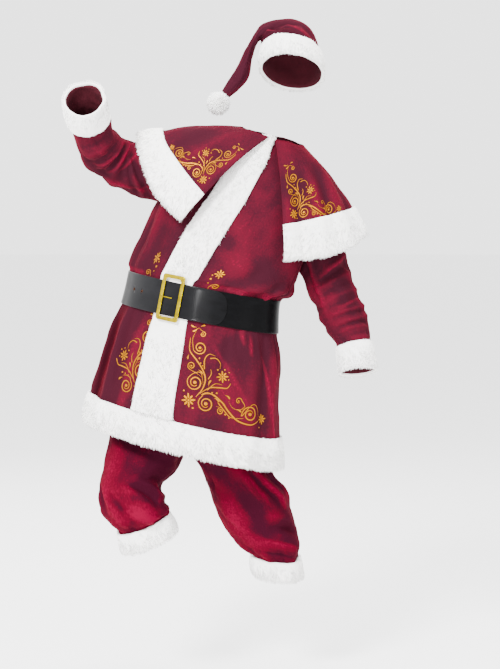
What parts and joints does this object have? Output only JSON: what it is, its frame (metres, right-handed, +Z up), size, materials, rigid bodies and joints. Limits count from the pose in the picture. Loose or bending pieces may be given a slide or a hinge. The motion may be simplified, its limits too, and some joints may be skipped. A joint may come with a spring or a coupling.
{
  "type": "santa suit",
  "caption": "Worn-form santa suit: belted burgundy velvet coat and shoulder cape with white plush bands and gold scrollwork, trousers and a folded-over hat with a pompom.",
  "frame": {"origin": "base of the neck, in the middle of the coat's neck opening, where the wearer holds the suit up", "axes": "+Z up, +X to the viewer's right (the wearer's left), and the front faces -Y"},
  "size_m": [0.824, 0.4711, 1.5297],
  "materials": {
    "velvet": "crushed burgundy velvet with a crimson nap and gold scroll printing",
    "plush": "long white plush pile",
    "leatherette": "smooth black leatherette, satin",
    "buckle_metal": "bright gold-coloured metal"
  },
  "bodies": {
    "root": {"belt_strap": "leatherette", "buckle_frame": "buckle_metal", "buckle_prong": "buckle_metal", "cape": "velvet", "cape_band": "plush", "coat_back": "velvet", "coat_front_left": "velvet", "coat_front_right": "velvet", "coat_hem_band": "plush", "coat_placket": "plush", "hat_band": "plush", "hat_body": "velvet", "hat_pompom": "plush", "sleeve_cuff_left": "plush", "sleeve_cuff_right": "plush", "sleeve_left": "velvet", "sleeve_right": "velvet", "trouser_cuff_left": "plush", "trouser_cuff_right": "plush", "trouser_leg_left": "velvet", "trouser_leg_right": "velvet"}
  },
  "joints": []
}
